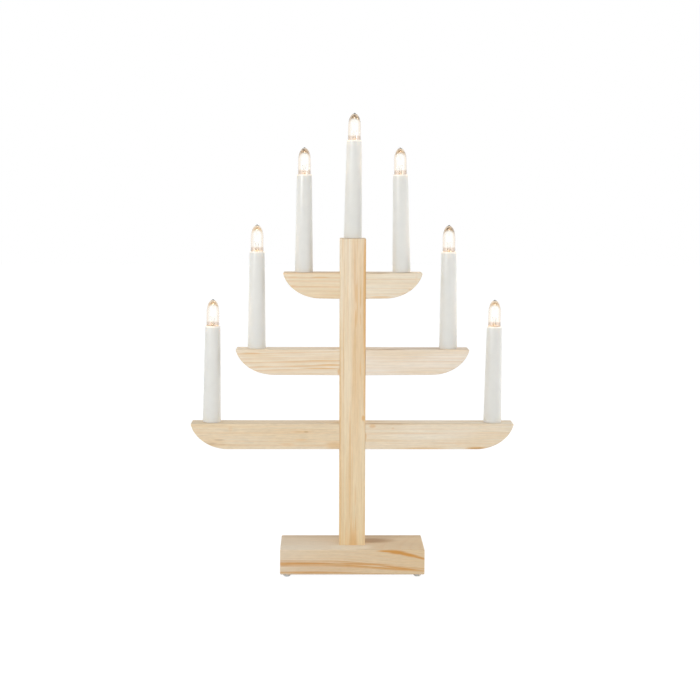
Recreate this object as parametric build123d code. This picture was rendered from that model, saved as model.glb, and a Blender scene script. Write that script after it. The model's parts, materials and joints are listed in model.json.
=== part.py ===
from build123d import *
import math
import os

# Wooden candlestick in the shape of a tree, with seven electric candles
# Millimetres, +Z up, +X to the right of someone facing it, and the front looks along -Y
# The origin lies on the table, under the middle of the base block

# Base block, sawn from a plank, and the four bumpers under it
base_width = 150.0
base_depth = 70.0
base_height = 26.5
foot_diameter = 9.0
foot_tread_diameter = 5.0
foot_height = 3.3
foot_inset_x = 7.0
foot_inset_y = 8.0

# Post, planed square, which stands on the middle of the base
post_width = 27.0
post_depth = 27.0
post_length = 321.0

# Arms, butted against the sides of the post, each with an underside that sweeps up to its tip
# The top pair lies a drop below the top of the post, and each pair a step below the one above
arm_height = 27.0
arm_depth = 26.0
arm_tip_run = 39.3
arm_tip_cut = 6.0
top_arm_drop = 35.3
top_arm_length = 58.8
top_arm_lift = 0.4
middle_arm_step = 79.5
middle_arm_length = 108.0
middle_arm_lift = 0.5
lower_arm_step = 77.7
lower_arm_length = 155.2
lower_arm_lift = 0.0
wood_arris = 1.1

# Dowels through the post, which hold a pair of arms, and the screws under the base
dowel_diameter = 6.0
dowel_chamfer = 0.6
dowel_bite = 18.0
dowel_rise = 7.5
dowel_setback = 3.0
dowel_glue_gap = 0.05
dowel_end_gap = 0.8
screw_diameter = 4.0
screw_length = 44.0
screw_point = 4.0
screw_head_diameter = 8.0
screw_head_height = 2.4
screw_spacing = 14.0
screw_setback = 4.0
screw_head_depth = 5.0
screw_clearance = 0.2
recess_width = 1.1
recess_length = 4.4
recess_depth = 1.5

# Wiring groove in the back of the wood, the bores it feeds, and the way in for a cord
groove_width = 8.0
groove_depth = 8.0
cross_bore_diameter = 8.4
riser_diameter = 8.0
inlet_bore_diameter = 10.0
inlet_flange_diameter = 13.0
inlet_flange_thickness = 1.5
inlet_length = 9.0
inlet_cord_bore = 6.0
inlet_fit = 0.05

# Insulated lamp leads, the splices that end them, and the staples over the groove
wire_diameter = 1.8
wire_spread = 2.0
wire_lift = 1.0
wire_bend_radius = 3.5
wire_end_gap = 0.1
terminal_offset = 4.0
splice_diameter = 3.4
splice_length = 9.0
splice_step = 1.0
staple_width = 1.3
staple_thickness = 0.7
staple_leg = 5.0
staple_shoulder = 2.0

# Candle tube, moulded in plastic, with a hollow spigot that plugs into the wood
candle_inset = 21.6
tube_height = 101.0
tube_foot_diameter = 18.8
tube_top_diameter = 15.7
tube_wall = 0.9
tube_floor = 1.6
tube_rim_round = 0.35
spigot_diameter = 9.6
spigot_bore = 7.6
spigot_length = 9.0
spigot_clearance = 0.35

# Lamp holder, wedged in the taper of the tube, with its screw shell, plunger and spring
holder_drop = 6.0
holder_height = 15.6
holder_fit = 0.05
shell_radius = 4.85
shell_wall = 0.35
shell_depth = 9.3
shell_floor_hole_radius = 3.2
shell_drop = 0.2
plunger_head_radius = 2.5
plunger_head_height = 1.0
plunger_stem_radius = 1.1
plunger_stem_length = 9.0
plunger_fit = 0.08
spring_pocket_radius = 2.9
spring_pocket_depth = 3.0
spring_wire = 0.7
spring_coil_radius = 1.95
spring_coils = 3
seat_gap = 0.05

# Lamp: glass envelope with its stem, screw cap and filament
glass_radius = 6.7
glass_height = 27.6
glass_shoulder = 13.5
glass_wall = 0.6
glass_flare_top = 2.0
glass_flare_drop = 5.2
glass_neck_radius = 4.15
glass_neck_drop = 7.3
stem_radius = 1.7
stem_height = 3.5
cap_radius = 4.7
cap_thread_depth = 0.4
cap_wall = 0.35
cap_drop = 5.4
cap_length = 8.2
cap_contact_radius = 1.6
cap_foot_height = 1.4
thread_pitch = 1.814
filament_diameter = 0.5
filament_foot_spread = 1.0
filament_tip_spread = 2.6
filament_shoulder = 11.0
filament_top = 13.0
filament_bend_radius = 0.8

# One overrun serves every cut that has to pass a face
overrun = 1.0

# Worked out from the sizes above
base_top = foot_height + base_height
post_top = base_top + post_length
groove_floor = post_depth / 2 - groove_depth
wire_y = groove_floor + wire_lift + wire_diameter / 2
inlet_z = foot_height + base_height / 2
riser_y = post_depth / 2 - groove_depth / 2
glass_tip_z = tube_height + glass_height
top_arm_rise = post_length - top_arm_drop
middle_arm_rise = top_arm_rise - middle_arm_step
lower_arm_rise = middle_arm_rise - lower_arm_step

# Tiers of arms: name, height of the top face over the base, length, rise of the underside
tiers = (
    ("lower", lower_arm_rise, lower_arm_length, lower_arm_lift),
    ("middle", middle_arm_rise, middle_arm_length, middle_arm_lift),
    ("top", top_arm_rise, top_arm_length, top_arm_lift),
)
sides = (("left", -1), ("right", 1))

# Degrees that each candle leans to the right, as loosely plugged candles do
candle_leans = {
    "lower_left": 0.9,
    "middle_left": 0.4,
    "top_left": 0.3,
    "centre": 0.7,
    "top_right": -0.9,
    "middle_right": 0.0,
    "lower_right": 0.6,
}

# Staples along an arm, as shares of its length, and along the post, of its length
arm_staple_shares = {"lower": (0.2, 0.68), "middle": (0.22, 0.6), "top": (0.2,)}
post_staple_shares = (0.12, 0.27, 0.44, 0.55, 0.67, 0.8)

# Middle of a bumper's rounded side: shares of its flare from the rim, and of its height
foot_bulge_shares = (0.25, 0.4)

# Outline of the lamp's dome: shares of the glass radius and of the dome's height
dome_shares = ((0.91, 0.38), (0.66, 0.66), (0.34, 0.87))


def turned_curves(edges):
    """Solid turned about Z from joined lines and curves drawn in (radius, height)."""
    return revolve(Plane.XZ * make_face(edges), axis=Axis.Z)


def turned(outline):
    """Solid turned about Z from (radius, height) points."""
    return turned_curves(Polyline(*outline, close=True).edges())


def bore(radius, start, end):
    """Round drill from one point to another."""
    path = Vector(*end) - Vector(*start)
    plane = Plane(origin=start, z_dir=path)
    return extrude(plane * Circle(radius), amount=path.length)


def tube_along(points, diameter, bend_radius):
    """Round wire along straight runs joined by tangent arcs."""
    path = FilletPolyline(*points, radius=bend_radius)
    section = Plane(origin=path @ 0, z_dir=path % 0) * Circle(diameter / 2)
    return sweep(section, path=path), path.length


def arm_middle(rise):
    """Height of an arm's centre line, where its groove and cross bore lie."""
    return base_top + rise - arm_height / 2


def arm_reach(length):
    """Distance of an arm's tip from the middle of the post."""
    return post_width / 2 + length


def candle_seats():
    """Distance from the middle of the post, and height, of each candle's seat on the wood."""
    seats = {"centre": (0, post_top)}
    for tier, rise, length, lift in tiers:
        for side_name, side in sides:
            x = side * (arm_reach(length) - candle_inset)
            seats[f"{tier}_{side_name}"] = (x, base_top + rise)
    return seats


def candle_places():
    """Place of each candle's foot centre, leaning on one edge of its foot."""
    places = {}
    for name, (x, seat) in candle_seats().items():
        lean = candle_leans[name]
        lift = tube_foot_diameter / 2 * math.sin(math.radians(abs(lean)))
        places[name] = Location((x, 0, seat + lift), (0, lean, 0))
    return places


def staple():
    """Staple over a groove that runs along Z; its crown lies on the plane y = 0."""
    crown_length = groove_width + 2 * staple_shoulder
    crown = Pos(0, staple_thickness / 2, 0) * Box(crown_length, staple_thickness, staple_width)
    body = crown
    for side_name, side in sides:
        x = side * (crown_length - staple_thickness) / 2
        leg = Pos(x, -staple_leg / 2, 0) * Box(staple_thickness, staple_leg, staple_width)
        body += leg
    return body


def staples():
    """All the staples, those over the arms turned to span a level groove."""
    rows = []
    for share in post_staple_shares:
        rows.append(Pos(0, post_depth / 2, base_top + share * post_length) * staple())
    for tier, rise, length, lift in tiers:
        for side_name, side in sides:
            for share in arm_staple_shares[tier]:
                x = side * (post_width / 2 + share * length)
                place = Pos(x, arm_depth / 2, arm_middle(rise)) * Rot(0, 90, 0)
                rows.append(place * staple())
    return rows


def dowel_axes():
    """Height of each dowel; they all lie in front of the wiring groove."""
    heights = []
    for tier, rise, length, lift in tiers:
        heights.append(arm_middle(rise) - dowel_rise)
        heights.append(arm_middle(rise) + dowel_rise)
    return heights


def dowels():
    """Beech dowels, each through the post and into two arms."""
    length = post_width + 2 * dowel_bite
    pin = Rot(0, 90, 0) * Cylinder(dowel_diameter / 2, length)
    ends = pin.faces().filter_by(Axis.X).edges()
    pin = chamfer(ends, dowel_chamfer)
    return [Pos(0, -dowel_setback, z) * pin for z in dowel_axes()]


def dowel_bores():
    """Holes for the dowels, a glue film wider and a little deeper."""
    half = post_width / 2 + dowel_bite + dowel_end_gap
    radius = dowel_diameter / 2 + dowel_glue_gap
    return [bore(radius, (-half, -dowel_setback, z), (half, -dowel_setback, z)) for z in dowel_axes()]


def screw_places():
    """Axis and head height of the two screws."""
    z = foot_height + screw_head_depth
    return [Pos(side * screw_spacing / 2, -screw_setback, z) for side_name, side in sides]


def screw():
    """Countersunk wood screw, point upwards, with a cross recess in its head."""
    head = screw_head_diameter / 2
    shank = screw_diameter / 2
    body = turned((
        (0, 0),
        (head, 0),
        (shank, screw_head_height),
        (shank, screw_length - screw_point),
        (0, screw_length),
    ))
    for width, length in ((recess_width, recess_length), (recess_length, recess_width)):
        body -= Pos(0, 0, recess_depth / 2) * Box(width, length, recess_depth)
    return body


def screw_bore():
    """Counterbore, countersink and hole for a screw, a clearance wider than it."""
    head = screw_head_diameter / 2 + screw_clearance
    shank = screw_diameter / 2 + screw_clearance
    return turned((
        (0, -screw_head_depth - overrun),
        (head, -screw_head_depth - overrun),
        (head, 0),
        (shank, screw_head_height),
        (shank, screw_length + screw_clearance),
        (0, screw_length + screw_clearance),
    ))


def inlet_cut():
    """Level bore from the back of the base, stepped for the flange of its grommet."""
    back = base_depth / 2
    deep = riser_y - riser_diameter / 2
    cut = bore(inlet_bore_diameter / 2, (0, deep, inlet_z), (0, back + overrun, inlet_z))
    step = back - inlet_flange_thickness
    cut += bore(inlet_flange_diameter / 2 + inlet_fit, (0, step, inlet_z), (0, back + overrun, inlet_z))
    return cut


def base_block():
    """Plank with eased edges, the screw holes and the way in for a cord."""
    block = Pos(0, 0, foot_height + base_height / 2) * Box(base_width, base_depth, base_height)
    block = fillet(block.edges(), wood_arris)
    for place in screw_places():
        block -= place * screw_bore()
    block -= bore(riser_diameter / 2, (0, riser_y, inlet_z), (0, riser_y, base_top + overrun))
    return block - inlet_cut()


def foot():
    """Soft bumper, flat where it is stuck on and where it treads."""
    rim = foot_diameter / 2
    tread = foot_tread_diameter / 2
    bulge = (rim - (rim - tread) * foot_bulge_shares[0], foot_height * foot_bulge_shares[1])
    side = ThreePointArc((tread, 0), bulge, (rim, foot_height))
    rest = Polyline((rim, foot_height), (0, foot_height), (0, 0), (tread, 0))
    return turned_curves(side.edges() + rest.edges())


def feet():
    """One bumper near each corner of the base."""
    x = base_width / 2 - foot_inset_x
    y = base_depth / 2 - foot_inset_y
    return [Pos(*place) * foot() for place in ((-x, -y, 0), (x, -y, 0), (-x, y, 0), (x, y, 0))]


def candle_bores():
    """In each candle's place: a hole for its spigot, and a cross bore in from the groove."""
    cuts = []
    hole = spigot_diameter / 2 + spigot_clearance
    for x, seat in candle_seats().values():
        middle = seat - arm_height / 2
        floor = middle - cross_bore_diameter / 2
        cuts.append(bore(hole, (x, 0, floor), (x, 0, seat + overrun)))
        cuts.append(bore(cross_bore_diameter / 2, (x, 0, middle), (x, post_depth, middle)))
    return cuts


def groove(reach, low, high):
    """Square groove cut from the back to the groove floor."""
    depth = groove_depth + overrun
    box = Box(reach[1] - reach[0], depth, high - low)
    return Pos((reach[0] + reach[1]) / 2, groove_floor + depth / 2, (low + high) / 2) * box


def grooves():
    """The upright groove up the post, and one level groove for each pair of arms."""
    half = groove_width / 2
    cuts = [groove((-half, half), base_top - overrun, post_top - arm_height / 2)]
    for tier, rise, length, lift in tiers:
        reach = arm_reach(length) - candle_inset
        cuts.append(groove((-reach, reach), arm_middle(rise) - half, arm_middle(rise) + half))
    return cuts


def post():
    """Square post with eased edges, grooved, and bored for dowels, screws and a candle."""
    body = Pos(0, 0, base_top + post_length / 2) * Box(post_width, post_depth, post_length)
    eased = body.edges().filter_by(Axis.Z) + body.faces().sort_by(Axis.Z)[-1].edges()
    body = fillet(eased, wood_arris)
    cuts = grooves() + candle_bores() + dowel_bores() + staples()
    cuts += [place * screw_bore() for place in screw_places()]
    return body - cuts


def arm(rise, length, lift, side):
    """Arm whose underside sweeps up to its tip along an ellipse, mirrored to its side."""
    start = post_width / 2
    tip = start + length
    top = base_top + rise
    deep = arm_height - lift
    # The ellipse stands a little over the top face, which cuts it off at the tip
    tall = deep + arm_tip_cut
    cut_angle = math.asin(arm_tip_cut / tall)
    wide = arm_tip_run / math.cos(cut_angle)
    sweep_angle = 90 - math.degrees(cut_angle)
    straight = Polyline(
        (tip, top),
        (start, top),
        (start, top - arm_height),
        (tip - arm_tip_run, top - deep),
    )
    centre = (tip - arm_tip_run, top + arm_tip_cut)
    under = EllipticalCenterArc(centre, wide, tall, start_angle=-90, arc_size=sweep_angle)
    face = make_face(straight.edges() + under.edges())
    body = extrude(Plane.XZ * face, amount=arm_depth / 2, both=True)
    butt = body.faces().sort_by(Axis.X)[0].edges()
    front_and_back = body.faces().sort_by(Axis.Y)
    eased = front_and_back[0].edges() + front_and_back[-1].edges()
    eased = [edge for edge in eased if edge not in butt]
    eased.append(body.edges().filter_by(Axis.Y).sort_by(lambda edge: edge.center().X + edge.center().Z)[-1])
    body = fillet(eased, wood_arris)
    if side < 0:
        body = mirror(body, about=Plane.YZ)
    return body - (grooves() + candle_bores() + dowel_bores() + staples())


def cord_grommet():
    """Rubber grommet in the back of the base; its bore takes a cord."""
    flange = inlet_flange_diameter / 2
    body = inlet_bore_diameter / 2 - inlet_fit
    hole = inlet_cord_bore / 2
    ring = turned((
        (hole, 0),
        (flange, 0),
        (flange, inlet_flange_thickness),
        (body, inlet_flange_thickness),
        (body, inlet_length),
        (hole, inlet_length),
    ))
    return Pos(0, base_depth / 2, inlet_z) * Rot(90, 0, 0) * ring


def splice_front():
    """Where the splices start, just past the bend of the leads in the base."""
    return wire_y + wire_bend_radius + splice_step


def splices():
    """Crimped splices where a cord's two cores would join the lamp leads."""
    start = splice_front()
    rows = []
    for side_name, side in sides:
        x = side * wire_spread
        rows.append(bore(splice_diameter / 2, (x, start, inlet_z), (x, start + splice_length, inlet_z)))
    return rows


def terminal(place, side):
    """Point under a lamp holder where a lead ends, in the candle's own lean."""
    holder_foot = tube_height - holder_drop - holder_height
    point = place * Pos(side * terminal_offset, 0, holder_foot - wire_end_gap)
    return tuple(point.position)


def into_arm(places, tier, rise, length, side_name, side, far):
    """Corners of a lead from the post's groove, along an arm and up into its candle."""
    x_axis = arm_reach(length) - candle_inset
    x = side * (x_axis + far * wire_spread)
    z = arm_middle(rise) - far * wire_spread
    end = terminal(places[f"{tier}_{side_name}"], side * far)
    return [(side * wire_spread, wire_y, z), (x, wire_y, z), (x, 0, z), end]


def leads():
    """Eight leads that join the seven lamps in one row, from splice to splice."""
    places = candle_places()
    routes = []
    for side_name, side in sides:
        column = side * wire_spread
        so_far = [(column, splice_front(), inlet_z), (column, wire_y, inlet_z)]
        for tier, rise, length, lift in tiers:
            so_far += into_arm(places, tier, rise, length, side_name, side, 1)
            routes.append(so_far)
            so_far = into_arm(places, tier, rise, length, side_name, side, -1)[::-1]
        middle = post_top - arm_height / 2
        so_far += [(column, wire_y, middle), (column, 0, middle), terminal(places["centre"], side)]
        routes.append(so_far)
    solids = []
    for route in routes:
        wire, length = tube_along(route, wire_diameter, wire_bend_radius)
        expected = math.pi * wire_diameter ** 2 / 4 * length
        print(f"lead {length:.1f} mm, bends {wire_bend_radius} mm, volume share {wire.volume / expected:.4f}")
        solids.append(wire)
    return solids


def tube_radius(height):
    """Outer radius of the tapered tube at a height over its foot."""
    share = height / tube_height
    return tube_foot_diameter / 2 + share * (tube_top_diameter - tube_foot_diameter) / 2


def candle_tube():
    """Tapered tube with a floor, and a hollow spigot below it."""
    floor_bore = tube_radius(tube_floor) - tube_wall
    top_bore = tube_radius(tube_height) - tube_wall
    body = turned((
        (spigot_bore / 2, -spigot_length),
        (spigot_diameter / 2, -spigot_length),
        (spigot_diameter / 2, 0),
        (tube_radius(0), 0),
        (tube_radius(tube_height), tube_height),
        (top_bore, tube_height),
        (floor_bore, tube_floor),
        (spigot_bore / 2, tube_floor),
    ))
    rim = body.faces().sort_by(Axis.Z)[-1].edges()
    return fillet(rim, tube_rim_round)


def lamp_holder():
    """Insulator that wedges in the tube, stepped inside for shell, spring and plunger."""
    top = tube_height - holder_drop
    foot_z = top - holder_height
    shell_seat = top - shell_drop - shell_depth
    pocket = shell_seat - spring_pocket_depth
    shell_bore = shell_radius + shell_wall + holder_fit
    guide = plunger_stem_radius + plunger_fit
    return turned((
        (guide, foot_z),
        (tube_radius(foot_z) - tube_wall - holder_fit, foot_z),
        (tube_radius(top) - tube_wall - holder_fit, top),
        (shell_bore, top),
        (shell_bore, shell_seat),
        (spring_pocket_radius, shell_seat),
        (spring_pocket_radius, pocket),
        (guide, pocket),
    ))


def screw_shell():
    """Brass shell that the lamp screws into; its floor has a hole for the plunger."""
    top = tube_height - holder_drop - shell_drop
    bottom = top - shell_depth
    outer = shell_radius + shell_wall
    return turned((
        (shell_floor_hole_radius, bottom),
        (outer, bottom),
        (outer, top),
        (shell_radius, top),
        (shell_radius, bottom + shell_wall),
        (shell_floor_hole_radius, bottom + shell_wall),
    ))


def cap_foot_z():
    """Height of the lamp's foot contact when it is screwed home."""
    return tube_height - cap_drop - cap_length - cap_foot_height


def contact_plunger():
    """Mushroom pin that presses on the lamp's foot and rises after it."""
    top = cap_foot_z() - seat_gap
    under = top - plunger_head_height
    return turned((
        (0, under - plunger_stem_length),
        (plunger_stem_radius, under - plunger_stem_length),
        (plunger_stem_radius, under),
        (plunger_head_radius, under),
        (plunger_head_radius, top),
        (0, top),
    ))


def contact_spring():
    """Spring under the plunger's head, pressed shut, its coils drawn as ridges."""
    top = cap_foot_z() - seat_gap - plunger_head_height - seat_gap
    bottom = tube_height - holder_drop - shell_drop - shell_depth - spring_pocket_depth + seat_gap
    step = (top - bottom) / spring_coils
    outer = spring_coil_radius + spring_wire / 2
    waist = spring_coil_radius + spring_wire / 4
    inner = spring_coil_radius - spring_wire / 2
    outline = [(inner, bottom), (waist, bottom)]
    for turn in range(spring_coils):
        outline.append((outer, bottom + (turn + 1 / 2) * step))
        outline.append((waist, bottom + (turn + 1) * step))
    outline.append((inner, top))
    return turned(outline)


def glass_body(inset):
    """Lamp envelope from its neck to its tip, shrunk on all sides by an inset."""
    neck = glass_neck_radius - inset
    side = glass_radius - inset
    bottom = tube_height - glass_neck_drop + inset
    flare_low = tube_height - glass_flare_drop
    flare_high = tube_height - glass_flare_top
    shoulder = tube_height + glass_shoulder
    dome = glass_tip_z - inset - shoulder
    curve = [(side, shoulder)]
    curve += [(side * wide, shoulder + dome * high) for wide, high in dome_shares]
    curve.append((0, shoulder + dome))
    lines = Polyline((0, shoulder + dome), (0, bottom), (neck, bottom), (neck, flare_low)).edges()
    lines += Spline((neck, flare_low), (side, flare_high), tangents=((0, 1), (0, 1))).edges()
    lines += Line((side, flare_high), (side, shoulder)).edges()
    lines += Spline(*curve, tangents=((0, 1), (-1, 0))).edges()
    return turned_curves(lines)


def stem_top():
    """Height of the top of the stem, where the filament's supports leave it."""
    return tube_height + stem_height


def lamp_glass():
    """Blown envelope with the stem that is melted into its neck."""
    neck_floor = tube_height - glass_neck_drop
    stem = bore(stem_radius, (0, 0, neck_floor + glass_wall / 2), (0, 0, stem_top()))
    return glass_body(0) - glass_body(glass_wall) + stem


def lamp_cap():
    """Screw cap with its ridges drawn as rings, closed by the foot contact."""
    top = tube_height - cap_drop
    bottom = top - cap_length
    foot_z = cap_foot_z()
    root = cap_radius - cap_thread_depth
    outline = [(cap_contact_radius, foot_z), (root, bottom)]
    ridges = int(cap_length / thread_pitch)
    for ridge in range(ridges):
        low = bottom + ridge * thread_pitch
        outline.append((cap_radius, low + thread_pitch / 2))
        outline.append((root, low + thread_pitch))
    lip = glass_neck_radius + seat_gap
    outline.append((lip + cap_wall, top))
    outline.append((lip, top))
    inner_floor = tube_height - glass_neck_drop - seat_gap
    outline.append((lip, inner_floor))
    inner = root - cap_wall
    outline.append((inner, inner_floor - cap_wall))
    outline.append((inner, bottom + cap_wall))
    outline.append((0, bottom + cap_wall))
    outline.append((0, foot_z))
    return turned(outline)


def lamp_filament():
    """Filament hung between the two support wires that rise from the stem."""
    foot_z = stem_top()
    shoulder = tube_height + filament_shoulder
    top = tube_height + filament_top
    knee = foot_z + filament_foot_spread
    points = [
        (-filament_foot_spread, 0, foot_z),
        (-filament_foot_spread, 0, knee),
        (-filament_tip_spread, 0, shoulder),
        (-filament_foot_spread, 0, top),
        (filament_foot_spread, 0, top),
        (filament_tip_spread, 0, shoulder),
        (filament_foot_spread, 0, knee),
        (filament_foot_spread, 0, foot_z),
    ]
    return tube_along(points, filament_diameter, filament_bend_radius)[0]


def build():
    """Every node by name."""
    nodes = {"base_block": base_block(), "post": post()}
    for tier, rise, length, lift in tiers:
        for side_name, side in sides:
            nodes[f"{tier}_{side_name}_arm"] = arm(rise, length, lift, side)
    nodes["arm_dowels"] = Compound(dowels())
    nodes["post_screws"] = Compound([place * screw() for place in screw_places()])
    nodes["bumper_feet"] = Compound(feet())
    nodes["wire_staples"] = Compound(staples())
    nodes["cord_grommet"] = cord_grommet()
    nodes["lead_splices"] = Compound(splices())
    nodes["lamp_leads"] = Compound(leads())
    places = candle_places()
    nodes["screw_shells"] = Compound([place * screw_shell() for place in places.values()])
    nodes["contact_springs"] = Compound([place * contact_spring() for place in places.values()])
    makers = {
        "candle_tube": candle_tube(),
        "lamp_holder": lamp_holder(),
        "contact_plunger": contact_plunger(),
        "lamp_glass": lamp_glass(),
        "lamp_cap": lamp_cap(),
        "filament": lamp_filament(),
    }
    for name, place in places.items():
        for piece, solid in makers.items():
            nodes[f"{name}_{piece}"] = place * solid
    return nodes


os.makedirs("parts", exist_ok=True)
for node_name, shape in build().items():
    export_step(shape, f"parts/{node_name}.step")
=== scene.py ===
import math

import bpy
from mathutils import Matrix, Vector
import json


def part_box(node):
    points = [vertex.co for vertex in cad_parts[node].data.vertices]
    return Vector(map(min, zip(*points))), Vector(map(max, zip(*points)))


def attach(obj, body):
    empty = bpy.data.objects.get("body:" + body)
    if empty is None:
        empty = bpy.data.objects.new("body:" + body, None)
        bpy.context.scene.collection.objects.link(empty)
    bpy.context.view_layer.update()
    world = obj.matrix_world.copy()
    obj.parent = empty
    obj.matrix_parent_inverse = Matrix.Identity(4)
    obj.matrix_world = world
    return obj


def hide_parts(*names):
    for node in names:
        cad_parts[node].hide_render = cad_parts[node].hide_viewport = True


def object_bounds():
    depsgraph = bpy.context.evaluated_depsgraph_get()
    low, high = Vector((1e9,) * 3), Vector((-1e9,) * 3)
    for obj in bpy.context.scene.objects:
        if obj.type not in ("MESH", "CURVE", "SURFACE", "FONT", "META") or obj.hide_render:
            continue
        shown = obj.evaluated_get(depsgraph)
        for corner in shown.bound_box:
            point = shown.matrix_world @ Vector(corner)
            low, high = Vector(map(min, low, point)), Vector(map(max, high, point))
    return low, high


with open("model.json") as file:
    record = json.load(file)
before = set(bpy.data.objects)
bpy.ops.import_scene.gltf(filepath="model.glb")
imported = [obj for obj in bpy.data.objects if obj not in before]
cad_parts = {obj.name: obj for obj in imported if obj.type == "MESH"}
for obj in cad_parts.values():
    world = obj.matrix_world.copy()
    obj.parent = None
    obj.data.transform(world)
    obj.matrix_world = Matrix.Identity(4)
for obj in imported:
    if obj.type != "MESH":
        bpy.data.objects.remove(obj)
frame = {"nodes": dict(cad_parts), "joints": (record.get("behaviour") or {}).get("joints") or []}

# %% [markdown]
# # A wooden candlestick with seven electric candles
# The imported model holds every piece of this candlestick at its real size: pine boards, plastic candle
# tubes, small screw-cap lamps, and the wiring in the back. Here the pieces get their looks. The boards keep
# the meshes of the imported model. The tubes, lamp glasses and filaments are modelled again, because smooth
# turned shapes show every facet.

MM = 0.001
cad_low, cad_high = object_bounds()
size_mm = (cad_high - cad_low) / MM
print("CAD box", [round(v, 1) for v in size_mm], "mm,", len(frame["nodes"]), "nodes")

# %% [markdown]
# ## Camera
# The photograph was taken with a long lens from a little to the left, and from above the middle, looking
# down by six degrees. A camera that is turned freely needs its three axes written out once, which is
# clearer than angles in a fixed order.

# %% The photograph's camera
# The place is in metres and the turns are in radians
camera_place = Vector((-0.0311, -1.7094, 0.4138))
camera_lens_mm = 84.64
camera_pitch = 0.1047
camera_yaw = 0.0167
camera_roll = -0.0031


def camera_turn(yaw, pitch, roll):
    """Turn of a camera that looks along +Y, then to the right, down, and leans over, in radians."""
    ahead = Vector((math.sin(yaw) * math.cos(pitch), math.cos(yaw) * math.cos(pitch), -math.sin(pitch)))
    level = Vector((math.cos(yaw), -math.sin(yaw), 0))
    above = level.cross(ahead)
    right = level * math.cos(roll) - above * math.sin(roll)
    up = level * math.sin(roll) + above * math.cos(roll)
    return Matrix((right, up, -ahead)).transposed().to_4x4()


camera_data = bpy.data.cameras.new("camera")
camera_data.lens = camera_lens_mm
camera_data.clip_start = 0.01
camera = bpy.data.objects.new("camera", camera_data)
camera.matrix_world = Matrix.Translation(camera_place) @ camera_turn(camera_yaw, camera_pitch, camera_roll)
bpy.context.scene.collection.objects.link(camera)
bpy.context.scene.camera = camera
bpy.context.scene.view_settings.view_transform = "Standard"
print("camera", round(camera_place.length, 2), "m from the middle of the base's underside")

# %% [markdown]
# ## Helpers for materials
# Colours are written as sRGB hex values, as a colour picker shows them, and shaders want them linear. One
# function adds a node with its settings and links. The short ones after it name what a node is added for,
# so that each material reads from top to bottom.

# %% Colours and nodes
def colour(hex_value):
    """Linear colour of an sRGB hex value, with full alpha."""
    parts = [int(hex_value[i:i + 2], 16) / 255 for i in (1, 3, 5)]
    parts = [c / 12.92 if c <= 0.04045 else ((c + 0.055) / 1.055) ** 2.4 for c in parts]
    return (*parts, 1.0)


def add(tree, kind, inputs=(), **settings):
    """Adds a node, with its own settings, and its inputs set or linked."""
    node = tree.nodes.new(kind)
    for name, value in settings.items():
        setattr(node, name, value)
    for key, value in dict(inputs).items():
        if isinstance(value, bpy.types.NodeSocket):
            tree.links.new(value, node.inputs[key])
        else:
            node.inputs[key].default_value = value
    return node


def new_material(name):
    """Material with only an output node, and its tree."""
    material = bpy.data.materials.new(name)
    material.use_nodes = True
    material.node_tree.nodes.clear()
    output = material.node_tree.nodes.new("ShaderNodeOutputMaterial")
    return material, material.node_tree, output


print("pure white is", colour("#ffffff")[:3])

# %% Sums, ranges and mixes
def calc(tree, operation, *values):
    """Result of a sum on numbers or sockets, taken in order."""
    return add(tree, "ShaderNodeMath", dict(enumerate(values)), operation=operation).outputs[0]


def vector_calc(tree, operation, *values):
    """The same for vectors and colours; a length or a distance comes out as a number."""
    node = add(tree, "ShaderNodeVectorMath", dict(enumerate(values)), operation=operation)
    return node.outputs["Value" if operation in ("LENGTH", "DISTANCE") else "Vector"]


def parts_of(tree, vector):
    """The three parts of a vector."""
    return add(tree, "ShaderNodeSeparateXYZ", {0: vector}).outputs


def fit(tree, value, reads, gives=(0.0, 1.0), soft=False):
    """Carries a value over from one range to another, and stops it at the ends, softly if asked."""
    ranged = add(tree, "ShaderNodeMapRange", {
        "Value": value, "From Min": reads[0], "From Max": reads[1], "To Min": gives[0], "To Max": gives[1]},
        interpolation_type="SMOOTHSTEP" if soft else "LINEAR")
    return ranged.outputs[0]


def blend(tree, share, first, second):
    """Mixes two colours, each a hex value or a socket, by the share of the second."""
    first, second = (colour(shade) if isinstance(shade, str) else shade for shade in (first, second))
    return add(tree, "ShaderNodeMix", {0: share, 6: first, 7: second}, data_type="RGBA").outputs[2]


def ramp(tree, value, stops):
    """Colour on a ramp; its stops rise in place, and each shade is a hex value or a grey from 0 to 1."""
    node = add(tree, "ShaderNodeValToRGB", {0: value})
    elements = node.color_ramp.elements
    for i, (place, shade) in enumerate(stops):
        if i > 1:
            elements.new(place)
        elements[i].position = place
        elements[i].color = colour(shade) if isinstance(shade, str) else (shade, shade, shade, 1)
    return node.outputs["Color"]


def noise(tree, patch_mm, detail):
    """Noise in an object's own coordinates, in patches of about this size."""
    place = add(tree, "ShaderNodeTexCoord")
    cloud = add(tree, "ShaderNodeTexNoise", {
        "Vector": place.outputs["Object"], "Scale": 1 / (patch_mm * MM), "Detail": detail})
    return cloud.outputs["Fac"]


def seen_directly(tree):
    """1 to the camera, in a reflection and through glass, and 0 to the surfaces that get light from it."""
    path = add(tree, "ShaderNodeLightPath")
    seen = calc(tree, "MAXIMUM", path.outputs["Is Camera Ray"], path.outputs["Is Glossy Ray"])
    return calc(tree, "MAXIMUM", seen, path.outputs["Is Transmission Ray"])


# %% [markdown]
# ## Studio
# Such pictures are taken on a white sweep under large soft lamps. Here the world is white to the camera, to
# reflections and through glass. To the surfaces that it lights it is dimmer, and most of all from above,
# where it is also a little cooler, so that the arms' top faces are darker than their fronts. A small soft
# lamp stands in front, above and to the left, and throws the post's shadow to the right. A larger, weaker
# one fills from the right. Two large ones stand a little behind, left and right, and light the edges of the
# white tubes, and a weak one lights the back. The floor is white to the camera, and keeps the object's
# shadow.

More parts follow.
